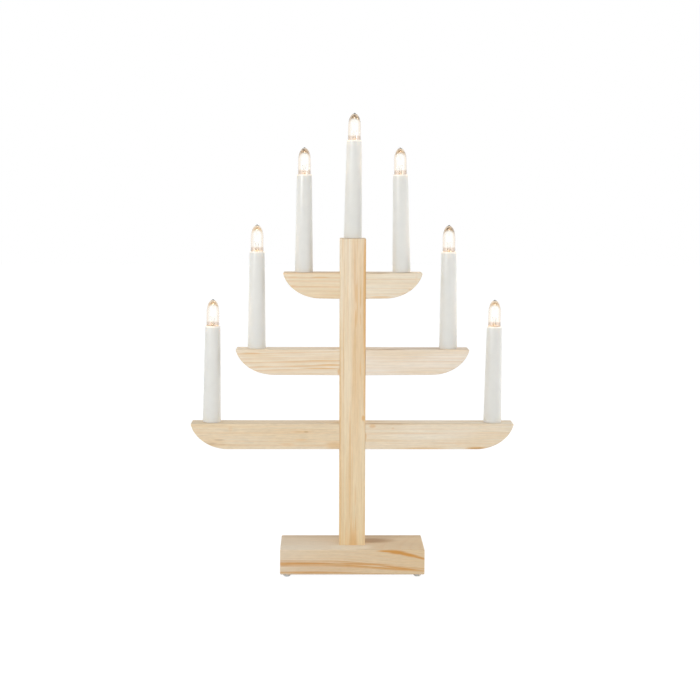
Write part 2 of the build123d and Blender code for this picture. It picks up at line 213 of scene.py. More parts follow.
# %% World
horizon_strength = 0.76
zenith_strength = 0.445
zenith_tint = "#f6faff"
world = bpy.data.worlds.new("studio")
world.use_nodes = True
sky = world.node_tree
sky.nodes.clear()
way = add(sky, "ShaderNodeTexCoord")
# 1 straight up and 0 at the horizon
height = parts_of(sky, way.outputs["Generated"])[2]
dim = add(sky, "ShaderNodeBackground", {
    "Color": blend(sky, height, "#ffffff", zenith_tint),
    "Strength": fit(sky, height, (0.0, 1.0), (horizon_strength, zenith_strength))})
white = add(sky, "ShaderNodeBackground", {"Color": colour("#ffffff"), "Strength": 1.0})
either = add(sky, "ShaderNodeMixShader", {0: seen_directly(sky), 1: dim.outputs[0], 2: white.outputs[0]})
add(sky, "ShaderNodeOutputWorld", {"Surface": either.outputs[0]})
bpy.context.scene.world = world
print("world", horizon_strength, "at the horizon and", zenith_strength, "overhead")

# %% Lamps
middle = (cad_low + cad_high) / 2


def soft_lamp(name, place, size, power, shows=True):
    """Square soft lamp that faces the object's middle; one that doesn't show leaves no glint in glass."""
    data = bpy.data.lights.new(name, "AREA")
    data.size = size
    data.energy = power
    lamp = bpy.data.objects.new(name, data)
    lamp.location = place
    lamp.rotation_euler = (middle - Vector(place)).to_track_quat("-Z", "Y").to_euler()
    lamp.visible_glossy = shows
    lamp.visible_transmission = shows
    bpy.context.scene.collection.objects.link(lamp)


# Places and sizes are in metres, powers in watts
soft_lamp("key", (-1.05, -1.2, 0.8), 0.35, 8.5)
soft_lamp("fill", (1.1, -1.1, 0.5), 1.0, 3.4)
soft_lamp("left_edge", (-2.4, 0.6, 0.35), 1.2, 5.5, shows=False)
soft_lamp("right_edge", (2.4, 0.6, 0.35), 1.2, 27.0, shows=False)
soft_lamp("back", (0.4, 1.5, 0.9), 1.0, 3.5, shows=False)

# %% Floor
# White sweep: plain matt paper, which gives off most of its white as light, so that the camera sees no edge
floor_size = 12.0
paper_shade = "#f2f2f2"
floor_light_share = 0.87
floor_light_strength = 1.10
bpy.ops.object.select_all(action="DESELECT")
bpy.ops.mesh.primitive_plane_add(size=floor_size, location=(0, 0, 0))
floor = bpy.context.object
floor.name = "floor"
paper, tree, output = new_material("white_sweep")
share = calc(tree, "MULTIPLY", seen_directly(tree), floor_light_share)
matt = add(tree, "ShaderNodeBsdfDiffuse", {"Color": colour(paper_shade)})
lit = add(tree, "ShaderNodeEmission", {"Color": colour("#ffffff"), "Strength": floor_light_strength})
both = add(tree, "ShaderNodeMixShader", {0: share, 1: matt.outputs[0], 2: lit.outputs[0]})
tree.links.new(both.outputs[0], output.inputs["Surface"])
floor.data.materials.append(paper)
print("floor", floor_size, "m wide")

# %% [markdown]
# ## Pine
# Pine is pale early wood crossed by narrow, orange late wood, which starts softly and ends sharply each
# year. A picture could be wrapped round each board, but then the end grain would not meet the face. Here
# the board is cut out of a log made of numbers: the distance from a pith line, bent a little, says which
# year a point grew in. So faces, edges and ends agree. The log is worked out in millimetres, with the grain
# along its first axis. The second one points from the board's front to its back, and the third one across
# the grain on the front face.

# %% A board's place in its log
bend_length_mm = 95.0
bend_width_mm = 30.0
# Boards are this far apart in the log for each step of their seed, so no two share a pattern
seed_step_mm = (317, 71, 53)


def board_point(tree, centre, upright):
    """Point in millimetres from a board's centre: along the grain, towards the back, and across the face."""
    place = add(tree, "ShaderNodeTexCoord")
    board = add(tree, "ShaderNodeMapping", {
        "Vector": place.outputs["Object"], "Location": -centre, "Scale": (1 / MM, 1 / MM, 1 / MM)})
    axes = parts_of(tree, board.outputs[0])
    along, across = (axes[2], axes[0]) if upright else (axes[0], axes[2])
    return add(tree, "ShaderNodeCombineXYZ", {0: along, 1: axes[1], 2: across}).outputs[0]


def grain_noise(tree, point, length_mm, width_mm, detail, **more):
    """Noise in patches of about this length along the grain, and this width across it."""
    scaled = add(tree, "ShaderNodeMapping", {
        "Vector": point, "Scale": (1 / length_mm, 1 / width_mm, 1 / width_mm)})
    return add(tree, "ShaderNodeTexNoise", {
        "Vector": scaled.outputs[0], "Scale": 1.0, "Detail": detail, **more})


def bend(tree, point, log_point, wander):
    """Moves a point sideways by slow noise, by wander millimetres at most, because no log is straight."""
    drift = grain_noise(tree, log_point, bend_length_mm, bend_width_mm, 1.5).outputs["Color"]
    drift = vector_calc(tree, "SUBTRACT", drift, (0.5, 0.5, 0.5))
    drift = vector_calc(tree, "MULTIPLY", drift, (0, wander * 2, wander * 2))
    return vector_calc(tree, "ADD", point, drift)


# %% [markdown]
# ## Years
# A year is a distance in millimetres across the years, counted from the middle of the board's front face.
# The few strong years that catch the eye are stops on a ramp, each given one by one. Faint years fill the
# rest: they repeat at an uneven spacing, and a ramp over one year gives them their soft start and sharp
# end.

# %% Distance across the years
bow_power = 1.5


def year_distance(tree, bent, front, pith, fall, bow):
    """Distance across the years, which fall along the board and bow away past a point."""
    parts = parts_of(tree, bent)
    across = add(tree, "ShaderNodeCombineXYZ", {0: 0.0, 1: parts[1], 2: parts[2]}).outputs[0]
    radius = vector_calc(tree, "DISTANCE", across, (0, pith[0], pith[1]))
    year = calc(tree, "ADD", radius, -math.hypot(front - pith[0], pith[1]))
    if pith[1] > 0:
        year = calc(tree, "MULTIPLY", year, -1.0)
    tilted = calc(tree, "MULTIPLY_ADD", parts[0], fall, year)
    start, amount, gain = bow
    past = calc(tree, "MAXIMUM", calc(tree, "SUBTRACT", parts[0], start), 0.0)
    past = calc(tree, "POWER", past, bow_power)
    swing = calc(tree, "MULTIPLY_ADD", parts[2], gain, amount)
    return calc(tree, "MULTIPLY_ADD", past, swing, tilted)


# %% Strong and faint years
ramp_reach_mm = 40.0
peak_before_mm = 0.15
end_after_mm = 0.35
faint_year_mm = 3.1
spacing_scale = 0.09
spacing_years = 4.0
line_gap_mm = 0.1
strength_patch_mm = (70, 5)
strength_gains = (0.35, 1.25)
# Most of a noise lies between these two values
noise_middle = (0.3, 0.7)
# Place in one faint year, and how much late wood is there
faint_stops = ((0.449, 0.0), (0.45, 0.08), (0.86, 1.0), (0.93, 0.1))


def strong_years(tree, year, lines):
    """Late wood of the strong years: a soft rise and a sharp end at each line."""
    stops = []
    for at, strength, softness in sorted(lines):
        start = at - softness
        if stops and start <= stops[-1][0]:
            start = stops[-1][0] + line_gap_mm
        stops += [(start, 0.0), (at - peak_before_mm, strength), (at + end_after_mm, 0.0)]
    share = fit(tree, year, (-ramp_reach_mm, ramp_reach_mm))
    return ramp(tree, share, [((at + ramp_reach_mm) / (2 * ramp_reach_mm), shade) for at, shade in stops])


def faint_years(tree, year, faint, seed):
    """Late wood of the faint years, which repeat at an uneven spacing."""
    uneven = add(tree, "ShaderNodeTexNoise", {"W": year, "Scale": spacing_scale, "Detail": 1.0},
                 noise_dimensions="1D")
    shift = calc(tree, "MULTIPLY_ADD", uneven.outputs["Fac"], spacing_years, seed)
    years = calc(tree, "MULTIPLY_ADD", year, 1 / faint_year_mm, shift)
    return calc(tree, "MULTIPLY", ramp(tree, calc(tree, "FRACT", years), faint_stops), faint)


def comes_and_goes(tree, log_point):
    """Gain of the late wood: each year has its own strength, which changes along the board."""
    patch = grain_noise(tree, log_point, *strength_patch_mm, 2.0)
    return fit(tree, patch.outputs["Fac"], noise_middle, strength_gains)


# %% [markdown]
# ## What lies between the years
# Knots, resin and stains are soft spots, each an ellipsoid that reaches into the board, so that it shows on
# the face and on the edge beside it. Painted shade, painted shadows and painted light on the top faces are
# spots of the same kind. The early wood has broad warm fields and narrow warm stripes. Short flecks and fine
# fibres darken and lighten all of it a little, and the fibres stand up from the planed face.

# %% Spots, early wood and fibres
pine_pale = "#ead9bc"
pine_late = "#deb074"
pine_warm = "#e2c598"
# Dark brown of real stains, and of painted shade and painted shadows on the top faces
pine_stain_and_shade = "#a77e50"
# Pale colour of painted light on the top faces
pine_painted_light = "#f5ead6"
spot_depth_mm = 9.0
# A spot is full within the first share of its size and fades out to the second
spot_fades = (0.3, 1.0)
# Length and width of each pattern, and where in its noise it comes in
field_mm, field_shows = (90, 16), (0.35, 0.7)
stripe_mm, stripe_shows = (75.0, 1.7), (0.42, 0.7)
fibre_mm, fibre_shows = (26.0, 0.6), (0.25, 0.75)
fibre_gains = (0.91, 1.06)
fleck_mm = (7.0, 1.5)
fleck_dark_to_light = 1.6


def spot(tree, point, place, half_sizes, strength, fall=0.0):
    """Mask of a soft spot in a board, from its middle and half sizes along, into and across the grain."""
    off = add(tree, "ShaderNodeMapping", {
        "Vector": point, "Location": place, "Rotation": (0, fall, 0), "Scale": half_sizes},
        vector_type="TEXTURE")
    return fit(tree, vector_calc(tree, "LENGTH", off.outputs[0]), spot_fades, (strength, 0.0), soft=True)


def early_wood(tree, log_point, along, half_length, shades, warmth, striped):
    """Pale wood that changes from one shade to another along the board, with warm fields and stripes."""
    field = grain_noise(tree, log_point, *field_mm, 3.0)
    field = fit(tree, field.outputs["Fac"], field_shows, (0.0, warmth))
    stripe = grain_noise(tree, log_point, *stripe_mm, 2.0)
    stripe = fit(tree, stripe.outputs["Fac"], stripe_shows, (0.0, striped))
    early = blend(tree, fit(tree, along, (-half_length, half_length)), *shades)
    return blend(tree, calc(tree, "ADD", field, stripe), early, pine_warm)


def fleck_and_fibre(tree, log_point, flecked):
    """Gain in tone from flecks and fibres, and the fibres themselves."""
    fibres = grain_noise(tree, log_point, *fibre_mm, 3.0, Roughness=0.6).outputs["Fac"]
    flecks = grain_noise(tree, log_point, *fleck_mm, 2.0).outputs["Fac"]
    fleck_gains = (1 - flecked * fleck_dark_to_light, 1 + flecked)
    gain = calc(tree, "MULTIPLY", fit(tree, fibres, fibre_shows, fibre_gains),
                fit(tree, flecks, noise_middle, fleck_gains))
    return gain, fibres


# %% Planed pine
# Planed and left bare, pine is almost matt, and its hard late wood has a little more shine than the rest
early_roughness, late_roughness = 0.62, 0.46
relief_mm = 0.08
relief_strength = 0.35
fibre_relief = 0.6


def pine(name, node, upright=False, pith=(12, -90), fall=0.0, bow=(0.0, 0.0, 0.0), wander=1.0, seed=0.0,
         lines=(), marks=(), stains_and_shade=(), painted_top_light=(), pale=pine_pale, pale_end=None, late=pine_late, faint=0.35,
         warmth=0.4, striped=0.35, flecked=0.02):
    """Planed pine for a board; the log's pith lies this far behind and above the board's centre."""
    material, tree, output = new_material(name)
    low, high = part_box(node)
    front = (low.y - high.y) / 2 / MM
    half_length = (high - low)[2 if upright else 0] / 2 / MM
    point = board_point(tree, (low + high) / 2 / MM, upright)
    log_point = vector_calc(tree, "ADD", point, tuple(seed * step for step in seed_step_mm))
    bent = bend(tree, point, log_point, wander)
    along = parts_of(tree, bent)[0]

    year = year_distance(tree, bent, front, pith, fall, bow)
    late_share = calc(tree, "ADD", faint_years(tree, year, faint, seed), strong_years(tree, year, lines))
    late_share = calc(tree, "MULTIPLY", late_share, comes_and_goes(tree, log_point))
    for x, z, length, width, strength, *turned_down in marks:
        mask = spot(tree, bent, (x, front, z), (length, spot_depth_mm, width), strength, *turned_down)
        late_share = calc(tree, "MAXIMUM", late_share, mask)
    late_share = calc(tree, "MINIMUM", late_share, 1.0)

    early = early_wood(tree, log_point, along, half_length, (pale, pale_end or pale), warmth, striped)
    wood = blend(tree, late_share, early, late)
    # Painted light pales spots on the top faces; the stains darken, some as real stains and most as painted
    # shade and painted shadows on the top faces
    for patches, shade in ((painted_top_light, pine_painted_light), (stains_and_shade, pine_stain_and_shade)):
        for x, z, length, width, strength, *depths in patches:
            y, depth = depths or (front, spot_depth_mm)
            mask = spot(tree, bent, (x, y, z), (length, depth, width), strength)
            wood = blend(tree, mask, wood, shade)
    gain, fibres = fleck_and_fibre(tree, log_point, flecked)

    relief = calc(tree, "MULTIPLY_ADD", fibres, fibre_relief, late_share)
    bump = add(tree, "ShaderNodeBump", {
        "Height": relief, "Strength": relief_strength, "Distance": relief_mm * MM})
    shader = add(tree, "ShaderNodeBsdfPrincipled", {
        "Base Color": vector_calc(tree, "MULTIPLY", wood, gain),
        "Roughness": fit(tree, late_share, (0.0, 1.0), (early_roughness, late_roughness)),
        "Normal": bump.outputs[0], "IOR": 1.5})
    tree.links.new(shader.outputs[0], output.inputs["Surface"])
    return material


def dress(node, material):
    """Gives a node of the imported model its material."""
    for slot in frame["nodes"][node].material_slots:
        slot.material = material


# %% [markdown]
# ## Eight boards
# Each board in the photograph has a face of its own. A random pattern could stand for any of them, but not
# for that one, so what catches the eye is listed one by one, in millimetres from the middle of the board's
# front face.
# - Lines are strong years: height on the face, strength, and how softly the year starts.
# - Marks are late wood, resin and knots, and the broad one at the post's foot is painted shade: place along
#   and across the grain, half length, half width, strength, and, for some, the angle by which they fall.
# - Stains and shade are dark patches, real stains and painted shade, and painted top light is pale patches of
#   painted light on the top faces: the same five values, and, for those that don't lie on the front face,
#       their
#   place towards the back and their half depth.
#
# A fall is how far the years sink for each millimetre along the board. A bow has the place where it starts,
# its amount, and how much more that is for each millimetre of height.

# %% Base block
boards = {"base_block": {
    "pith": (-35, 400), "bow": (-20, 0.0125, 0.0006), "wander": 0.35, "seed": 1.0,
    "pale": "#e1cfb6", "pale_end": "#ddc39d", "late": "#cf9448",
    "faint": 0.16, "warmth": 0.25, "striped": 0.25, "flecked": 0.03,
    "lines": ((-2.2, 1.0, 3.2), (1.6, 0.5, 2.6), (-10.3, 0.7, 3.2)),
    "marks": ((38, 11.5, 17, 1.7, 1.0, 0.02), (46, 10.4, 16, 3.2, 1.0, 0.1), (57, 8.0, 20, 2.6, 1.0, 0.2),
              (69, 4.9, 15, 1.7, 0.9, 0.25), (-50, -1.4, 60, 1.7, 0.9, 0.01), (-58, 1.4, 40, 1.1, 0.35, 0.02),
              (10, -2.0, 44, 1.7, 0.8, 0.03), (-45, -10.9, 50, 1.8, 0.7), (-20, -6.5, 60, 5.0, 0.2),
              (50, -6.2, 34, 1.4, 0.9, 0.12)),
    # Painted light on the top face: over its left, and in front of the post's foot
    "painted_top_light": ((-40, 13.2, 75, 1.5, 0.38, -22, 36), (-2, 13.2, 28, 1.5, 0.75, -22, 18)),
    # Painted shadow of the post right of its foot, painted shade along the back edge, and faint painted shade
    # in front on the right, all on the top face
    "stains_and_shade": ((20, 13.2, 34, 5, 0.8, 8, 17), (0, 13.2, 160, 4, 0.38, 42, 32),
               (38, 13.2, 60, 1.5, 0.1, -6, 26))}}

# %% Post, whose grain runs upwards
boards["post"] = {
    "upright": True, "pith": (-60, -160), "wander": 0.8, "seed": 2.0,
    # The pale wood darkens from top to foot: partly the wood's own tone, partly painted shade, as less light
    # reaches the foot
    "pale": "#ead4ac", "pale_end": "#f2e3cc", "faint": 0.2, "warmth": 0.3, "striped": 0.6, "flecked": 0.02,
    "lines": ((-9.0, 0.15, 1.5), (-5.0, 0.15, 1.5), (0.5, 0.2, 1.5), (6.0, 0.3, 1.5), (9.0, 0.2, 1.2)),
    "marks": ((60, 4.5, 200, 9.0, 0.33), (98, 12.7, 115, 3.6, 1.0), (130, 12.8, 60, 3.0, 1.0),
              (5, 12.6, 60, 2.6, 0.7), (-26, 11.8, 5, 3.4, 0.9), (120, 2.2, 60, 2.4, 0.5),
              (95, 4.6, 45, 1.5, 0.6), (104, 3.2, 20, 2.0, 0.7), (78, 3.0, 18, 2.0, 0.7),
              (100, 7.9, 20, 1.0, 0.8), (77, 7.9, 13, 1.1, 0.6), (26, 7.9, 14, 1.1, 0.7),
              (15, 3.4, 45, 1.4, 0.5), (5, 0.2, 40, 1.2, 0.35), (-50, -2.4, 60, 1.6, 0.5),
              (-58, 0.0, 45, 1.2, 0.35), (-70, -12.4, 180, 1.6, 0.55), (-152, -1.4, 34, 1.2, 0.7),
              # The broad mark at the foot, 6.5 mm wide, is painted shade in the colour of late wood
              (-148, 1.2, 26, 0.9, 0.45), (-150, 3.6, 32, 1.1, 0.65), (-162, 0.8, 30, 6.5, 0.75),
              (-108, 3.2, 18, 1.7, 0.4), (-125, 12.6, 60, 1.4, 0.4), (-152, -6.5, 30, 1.4, 0.35),
              (-90, -2.4, 70, 1.8, 0.45))}

# %% Top arms
boards["top_left_arm"] = {
    "pith": (20, -110), "seed": 3.0, "pale": "#eddcc1", "faint": 0.22, "striped": 0.25,
    "lines": ((12.5, 0.45, 1.8), (8.4, 0.5, 2.0), (-0.7, 0.55, 2.0), (5.0, 0.3, 1.5), (-5.4, 0.3, 1.5),
              (-8.5, 0.35, 1.5), (-11.0, 0.4, 1.5)),
    "marks": ((9, 8.4, 16, 1.2, 0.65), (-19, 8.4, 10, 1.2, 0.5), (-20, -0.7, 8, 1.3, 0.6)),
    # Painted shade over the top face
    "stains_and_shade": ((0, 14.5, 60, 2.2, 0.35, 0, 18),)}
boards["top_right_arm"] = {
    "pith": (20, 150), "seed": 4.0, "pale": "#eee3cf", "faint": 0.12, "striped": 0.2,
    "lines": ((7.5, 0.26, 1.8), (3.4, 0.22, 1.8), (-1.8, 0.25, 1.8), (-7.4, 0.27, 1.8), (-11.0, 0.3, 1.8)),
    "marks": ((23, 7.0, 2.2, 7, 0.15), (17, -3.3, 4, 1.4, 0.4), (11, -7.4, 6, 1.4, 0.4),
              (-14, -11.4, 18, 1.5, 0.6)),
    # Painted shade on the top face, darkest near the post as its painted shadow
    "stains_and_shade": ((-15, 14.2, 18, 1.8, 0.7), (10, 14.2, 50, 1.2, 0.3))}

# %% Middle arms
boards["middle_left_arm"] = {
    "pith": (16, -120), "fall": -0.028, "wander": 0.5, "seed": 5.0, "pale": "#f1e5d2", "faint": 0.25,
    "lines": ((10.2, 0.5, 2.0), (5.5, 0.3, 1.6), (0.9, 0.6, 1.8), (-3.7, 0.7, 2.0), (-7.1, 0.6, 1.7),
              (-11.5, 0.4, 2.0)),
    "marks": ((45, -2.6, 22, 1.4, 0.85), (36, -6.2, 28, 1.2, 0.8), (54.5, -9.5, 4.5, 7, 0.75),
              (-38, 9.2, 18, 1.3, 0.7), (-24, -4.7, 18, 1.1, 0.6), (36, 1.9, 26, 1.1, 0.65),
              (-20, 12.0, 34, 2.0, 0.25)),
    # Painted light on the top face
    "painted_top_light": ((5, 13.5, 90, 1.5, 0.33, 0, 20),)}
boards["middle_right_arm"] = {
    "pith": (20, 140), "wander": 0.5, "seed": 6.0, "pale": "#f0e5d6", "faint": 0.12, "striped": 0.16,
    "lines": ((9.7, 0.2, 1.8), (5.1, 0.26, 1.8), (1.4, 0.24, 1.8), (-5.3, 0.28, 1.8), (-9.9, 0.24, 1.8)),
    # The post's painted shadow on the top face near it, and painted shade along the top face
    "stains_and_shade": ((-32, 14.5, 38, 2.6, 0.6), (10, 14.5, 90, 2.2, 0.55, 0, 18))}

# %% Lower arms
boards["lower_left_arm"] = {
    "pith": (20, -200), "wander": 1.6, "seed": 7.0, "pale": "#e6d4b8", "faint": 0.25, "flecked": 0.04,
    "lines": ((5.2, 0.2, 2.0), (-8.0, 0.25, 2.0)),
    "marks": ((-36, 8.3, 3.2, 4.6, 0.25), (23, -8.3, 12, 3.0, 0.4), (37.5, -3.1, 9, 1.8, 0.4),
              (38, 5.2, 18, 1.4, 0.45), (72.6, -8.8, 14, 6, 0.5), (-52, -5.7, 16, 6, 0.2)),
    # Painted light on the top face
    "painted_top_light": ((0, 13.5, 130, 1.5, 0.17, 0, 20),),
    # Real dark marks on the front face
    "stains_and_shade": ((42.7, 5.2, 3.6, 1.1, 0.5), (-48, -3.5, 8, 1.5, 0.3), (-56, -7.5, 8, 1.6, 0.3),
               (-45, -8.5, 7, 1.2, 0.25))}
boards["lower_right_arm"] = {
    "pith": (20, 170), "wander": 0.7, "seed": 8.0, "pale": "#ede1cd", "faint": 0.2, "flecked": 0.03,
    "lines": ((3.1, 0.24, 1.8), (-6.7, 0.24, 1.8), (8.6, 0.16, 1.8)),
    "marks": ((-70, 10.8, 5.0, 3.0, 0.6), (-77.3, 0, 1.8, 6, 0.7), (-48.7, 8.3, 2.2, 1.4, 0.45),
              (-27, 3.1, 60, 1.2, 0.35), (14.4, -6.7, 40, 1.2, 0.35), (20, -7.2, 6, 4.0, 0.25),
              (-16.7, -13.0, 36, 2.6, 0.6), (39, -12.2, 16, 2.0, 1.0)),
    # Painted light on the top face
    "painted_top_light": ((10, 13.5, 130, 1.5, 0.12, 0, 20),),
    # The post's painted shadow on the top face and its front edge, and a real dark mark low on the front face
    "stains_and_shade": ((-67, 14.2, 16, 2.0, 0.6), (-48, 13.2, 18, 1.3, 0.4), (39, -12.6, 13, 1.2, 0.5))}

# %% All boards get their pine
for node, board in boards.items():
    dress(node, pine(f"planed_pine_{node}", node, **board))
print(len(boards), "boards of planed pine")

# %% [markdown]
# ## Moulded plastic and rubber
# Moulded pieces have one colour all through. Flat colour would look like paint, so the shade is mottled by
# a few parts in a hundred, the shine varies with it, and the mould leaves a fine skin. One function makes
# all of them.

# %% Plastics and rubber
mottle_share = 0.03
shine_change = 0.05
skin_patch_mm = 0.4
skin_relief_mm = 0.02
skin_strength = 0.1
milky_depth_mm = 2.0
# Red light runs furthest in milky plastic
milky_reach = (1.0, 0.9, 0.75)


def moulded(name, shade, roughness, mottle_mm, milky=0.0, clear=0.0):
    """Moulded plastic or rubber; milky is how much light runs about in it, clear how much goes through."""
    material, tree, output = new_material(name)
    cloud = noise(tree, mottle_mm, 3.0)
    tone = fit(tree, cloud, noise_middle, (1 - mottle_share, 1.0))
    bump = add(tree, "ShaderNodeBump", {
        "Height": noise(tree, skin_patch_mm, 2.0), "Strength": skin_strength,
        "Distance": skin_relief_mm * MM})
    shader = add(tree, "ShaderNodeBsdfPrincipled", {
        "Base Color": vector_calc(tree, "MULTIPLY", colour(shade)[:3], tone),
        "Roughness": fit(tree, cloud, (0.0, 1.0), (roughness - shine_change, roughness + shine_change)),
        "Normal": bump.outputs[0], "IOR": 1.5, "Subsurface Weight": milky,
        "Subsurface Radius": milky_reach, "Subsurface Scale": milky_depth_mm * MM,
        "Transmission Weight": clear})
    tree.links.new(shader.outputs[0], output.inputs["Surface"])
    return material


# Soft clear plastic: light runs about in it, so a bumper looks like grey ice
dress("bumper_feet", moulded("clear_soft_plastic", "#e9ebe8", 0.25, 2.0, milky=0.6, clear=0.1))
# Rubber: dull, with no highlight
dress("cord_grommet", moulded("pale_rubber", "#c9c7c0", 0.6, 1.5))
# Nylon without dye: a little yellow, and waxy
dress("lead_splices", moulded("natural_nylon", "#dcd8cb", 0.45, 1.2))
# Lead insulation: even white with a soft long highlight
dress("lamp_leads", moulded("white_lead_insulation", "#e4e3de", 0.38, 4.0))
# Urea plastic: dense and creamy, as lamp holders are
holder_plastic = moulded("white_urea_plastic", "#dedcd3", 0.42, 3.0)
print("moulded pieces dressed")

# %% [markdown]
# ## Metals
# Bare and plated metal is as bright as what it mirrors, so its look comes from the shine and its faults:
# fine marks from making it change the shine, and dull patches darken the colour. One function makes all of
# them.

# %% Screws, staples, shells and springs
stained_share = 0.15
dull_to_mark = 7
dull_shows = (0.45, 0.75)
mark_relief_mm = 0.02
mark_strength = 0.2
brighter, duller = 0.1, 0.12


def metal(name, shade, roughness, mark_mm, stain="#6f6a62"):
    """Bare or plated metal with fine marks from making it, and dull patches."""
    material, tree, output = new_material(name)
    marks = noise(tree, mark_mm, 4.0)
    dull = fit(tree, noise(tree, mark_mm * dull_to_mark, 2.0), dull_shows, (0.0, stained_share))
    bump = add(tree, "ShaderNodeBump", {
        "Height": marks, "Strength": mark_strength, "Distance": mark_relief_mm * MM})
    shader = add(tree, "ShaderNodeBsdfPrincipled", {
        "Base Color": blend(tree, dull, shade, stain), "Metallic": 1.0,
        "Roughness": fit(tree, marks, (0.0, 1.0), (roughness - brighter, roughness + duller)),
        "Normal": bump.outputs[0]})
    tree.links.new(shader.outputs[0], output.inputs["Surface"])
    return material


# Zinc plating: pale, bluish and a little grainy
zinc = metal("zinc_plated_steel", "#c4c6c8", 0.35, 0.6)
# Pressed brass: yellow and bright, with brown patches
brass = metal("pressed_brass", "#d8b66a", 0.28, 0.8, stain="#7d6236")
# Nickel plating: warm grey, and the smoothest of them
nickel = metal("nickel_plated_brass", "#cfcbc0", 0.22, 0.8)
# Spring steel: darker drawn wire with a thin highlight
spring = metal("spring_steel", "#8f9092", 0.3, 0.5)
for node, finish in (("post_screws", zinc), ("wire_staples", zinc), ("screw_shells", brass),
                     ("contact_springs", spring)):
    dress(node, finish)
print("metal pieces dressed")

# %% Beech dowels
# Turned beech: fine and even, with short flecks only, and hidden in the joints of this candlestick
# Flecks to a metre, along the dowels and across them
fleck_scale = (250, 1800, 1800)
beech, tree, output = new_material("turned_beech")
place = add(tree, "ShaderNodeTexCoord")
flecks = add(tree, "ShaderNodeMapping", {"Vector": place.outputs["Object"], "Scale": fleck_scale})
flecks = add(tree, "ShaderNodeTexNoise", {"Vector": flecks.outputs[0], "Scale": 1.0, "Detail": 3.0})
shader = add(tree, "ShaderNodeBsdfPrincipled", {
    "Base Color": blend(tree, flecks.outputs["Fac"], "#c9a47c", "#b98f66"), "Roughness": 0.55})
tree.links.new(shader.outputs[0], output.inputs["Surface"])
dress("arm_dowels", beech)
print("flecks", [round(1 / (scale * MM), 1) for scale in fleck_scale[:2]], "mm")

# %% [markdown]
# ## The candles' places
# Each candle leans a little on the edge of its foot. The joint that turns its lamp has the foot's place and
# the lean in its axis, so every upright piece is modelled once at the origin and copied into seven places.
# Each copy keeps its upright place in an attribute, which the materials read, so that a pattern follows the
# lean.

# %% Seven places
def candle_matrix(joint):
    """Place and lean of a candle, from the joint that its lamp turns on."""
    lean = math.atan2(joint["axis"][0], joint["axis"][2])
    return Matrix.Translation(Vector(joint["pos_m"])) @ Matrix.Rotation(lean, 4, "Y")


places = {
    joint["name"][:-len("_turn")]: candle_matrix(joint)
    for joint in frame["joints"] if joint["name"].endswith("_turn")
}
for name in places:
    dress(f"{name}_lamp_holder", holder_plastic)
    dress(f"{name}_contact_plunger", brass)
    dress(f"{name}_lamp_cap", nickel)
print(len(places), "candles:", ", ".join(places))

# %% [markdown]
# ## Turned pieces
# A candle tube and a lamp glass are round, so they are made as on a lathe: a circle is added at the first
# point of the outline, then extruded and resized from point to point. Spin would do it too, but leaves a
# seam to weld.

# %% A lathe made of extrude and resize
def select_only(*pieces):
    """Selects these pieces and nothing else, and makes the last of them the active one."""
    bpy.ops.object.select_all(action="DESELECT")
    for piece in pieces:
        piece.select_set(True)
    bpy.context.view_layer.objects.active = pieces[-1]


def close_and_turn_out(piece):
    """Welds the seams of a piece's mesh, closes its open ends and turns its normals outwards."""
    select_only(piece)
    bpy.ops.object.mode_set(mode="EDIT")
    bpy.ops.mesh.select_all(action="SELECT")
    bpy.ops.mesh.remove_doubles(threshold=0.01 * MM)
    bpy.ops.mesh.fill_holes(sides=0)
    bpy.ops.mesh.normals_make_consistent(inside=False)
    bpy.ops.object.mode_set(mode="OBJECT")


def turned(name, outline, segments, closed=True):
    """Piece turned about Z from points of (radius, height) in millimetres; closed goes back to the first."""
    bpy.ops.object.select_all(action="DESELECT")
    radius, height = outline[0]
    bpy.ops.mesh.primitive_circle_add(
        vertices=segments, radius=radius * MM, fill_type="NOTHING", location=(0, 0, height * MM))
    piece = bpy.context.object
    piece.name = name
    piece.data.name = name
    bpy.ops.object.mode_set(mode="EDIT")
    rest = outline[1:] + outline[:1] if closed else outline[1:]
    for new_radius, new_height in rest:
        bpy.ops.mesh.extrude_region_move(
            TRANSFORM_OT_translate={"value": (0, 0, (new_height - height) * MM)})
        if new_radius > 0:
            ratio = new_radius / radius
            bpy.ops.transform.resize(value=(ratio, ratio, 1), center_override=(0, 0, new_height * MM))
            radius = new_radius
        else:
            bpy.ops.mesh.merge(type="CENTER")
        height = new_height
    bpy.ops.object.mode_set(mode="OBJECT")
    close_and_turn_out(piece)
    bpy.ops.object.transform_apply(location=True, rotation=True, scale=True)
    return piece


# %% Finishing and copying
def use_modifier(piece, kind, **settings):
    """Adds a modifier with its settings and applies it."""
    select_only(piece)
    modifier = piece.modifiers.new(kind.lower(), kind)
    for setting, value in settings.items():
        setattr(modifier, setting, value)
    bpy.ops.object.modifier_apply(modifier=modifier.name)


def smooth(piece, degrees=30):
    """Smooth shading, but for edges sharper than an angle."""
    select_only(piece)
    bpy.ops.object.shade_smooth_by_angle(angle=math.radians(degrees))


def seven_copies(pattern, suffix, body_suffix, own_shades=None):
    """Copies an upright piece into each candle's place, with its own mesh, and its own shade if given."""
    upright = pattern.data.attributes.new("upright_mm", "FLOAT_VECTOR", "POINT")
    for vertex, row in zip(pattern.data.vertices, upright.data):
        row.vector = vertex.co / MM
    for name, place in places.items():
        copy = bpy.data.objects.new(f"{name}_{suffix}_shown", pattern.data.copy())
        copy.data.transform(place)
        if own_shades:
            shades = copy.data.attributes.new("own_shade", "FLOAT", "POINT")
            shades.data.foreach_set("value", [own_shades[name]] * len(copy.data.vertices))
        bpy.context.scene.collection.objects.link(copy)
        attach(copy, f"{name}_{body_suffix}" if body_suffix else "candlestick")
        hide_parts(f"{name}_{suffix}")
    bpy.data.objects.remove(pattern)


